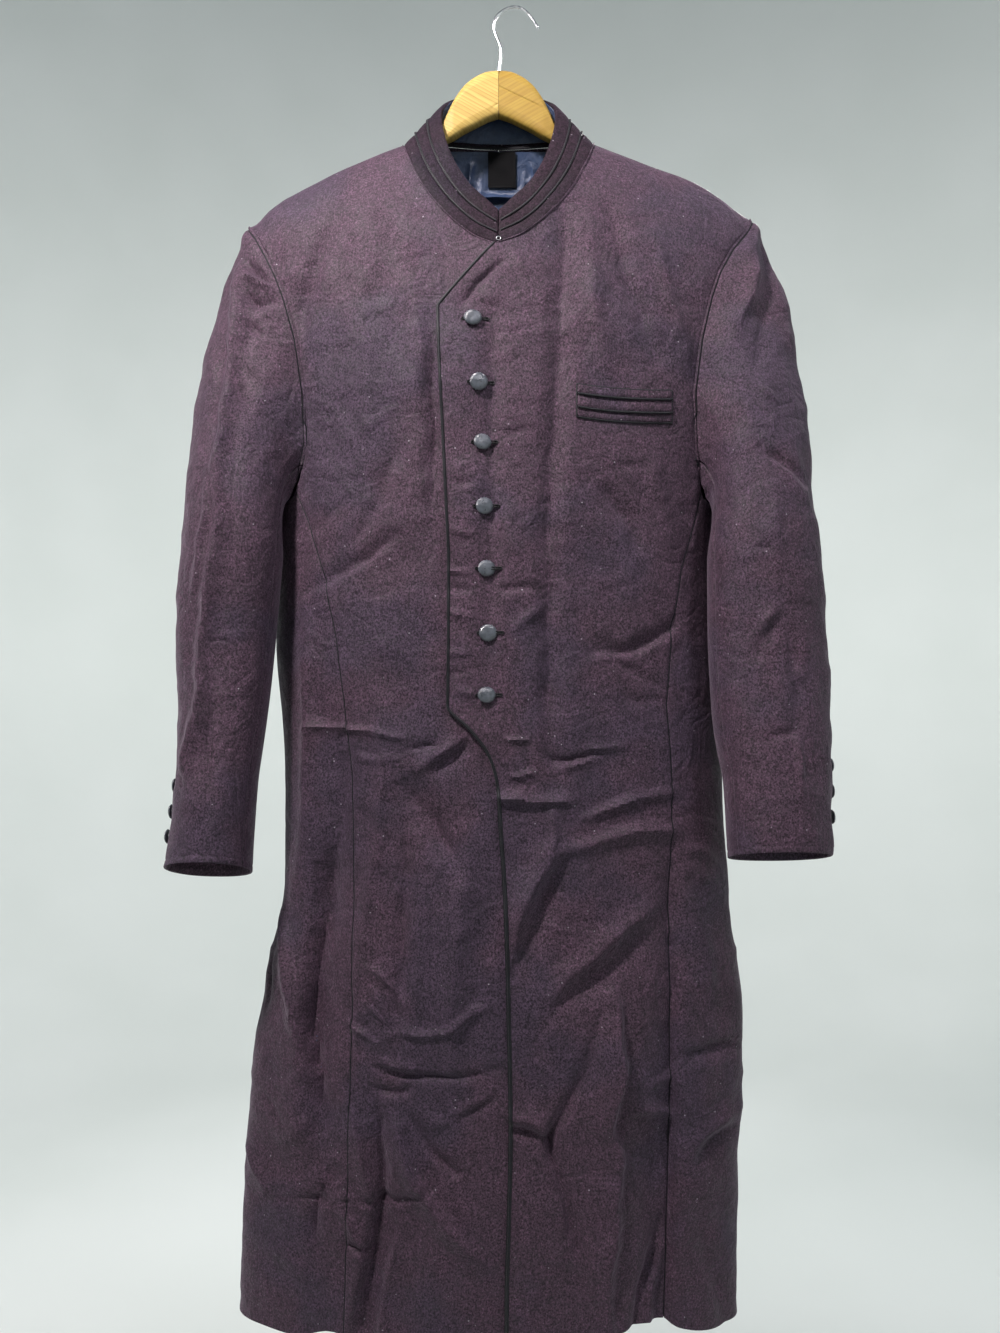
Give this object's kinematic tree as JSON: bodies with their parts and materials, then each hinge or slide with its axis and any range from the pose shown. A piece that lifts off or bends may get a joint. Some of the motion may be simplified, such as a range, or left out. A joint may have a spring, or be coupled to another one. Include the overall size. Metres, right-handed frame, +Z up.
{
  "type": "sherwani coat on a wooden hanger",
  "caption": "Knee-length sherwani coat with a stand collar, satin-piped asymmetric front edge and covered buttons, hanging on a wooden hanger with a wire hook.",
  "frame": {"origin": "inside the top of the hanger's hook, where it rests on what it hangs from", "axes": "+Z up, -Y toward the viewer of the coat's front, +X to the wearer's left"},
  "size_m": [0.5955, 0.1502, 1.2305],
  "materials": {
    "outer_cloth": "matte heathered suiting",
    "collar_cloth": "matte heathered suiting",
    "piping_satin": "black satin",
    "button_satin": "satin-covered",
    "lining_satin": "steel-blue satin",
    "label_weave": "woven, bare",
    "hanger_wood": "clear satin lacquer",
    "hook_steel": "polished"
  },
  "bodies": {
    "root": {"front_left": "outer_cloth", "front_right": "outer_cloth", "side_panel_left": "outer_cloth", "side_panel_right": "outer_cloth", "back_left": "outer_cloth", "back_right": "outer_cloth", "sleeve_left_upper": "outer_cloth", "sleeve_left_under": "outer_cloth", "sleeve_right_upper": "outer_cloth", "sleeve_right_under": "outer_cloth", "collar": "collar_cloth", "pocket_welt": "outer_cloth", "front_edge_piping": "piping_satin", "collar_piping_upper": "piping_satin", "collar_piping_lower": "piping_satin", "pocket_piping_upper": "piping_satin", "pocket_piping_lower": "piping_satin", "button_front_1": "button_satin", "button_front_2": "button_satin", "button_front_3": "button_satin", "button_front_4": "button_satin", "button_front_5": "button_satin", "button_front_6": "button_satin", "button_front_7": "button_satin", "button_cuff_left_1": "button_satin", "button_cuff_left_2": "button_satin", "button_cuff_left_3": "button_satin", "button_cuff_right_1": "button_satin", "button_cuff_right_2": "button_satin", "button_cuff_right_3": "button_satin", "collar_facing": "lining_satin", "lining_back": "lining_satin", "neck_label": "label_weave", "hanger_arm_left": "hanger_wood", "hanger_arm_right": "hanger_wood", "hanger_hook": "hook_steel", "collar_hook_and_eye": "hook_steel"}
  },
  "joints": []
}
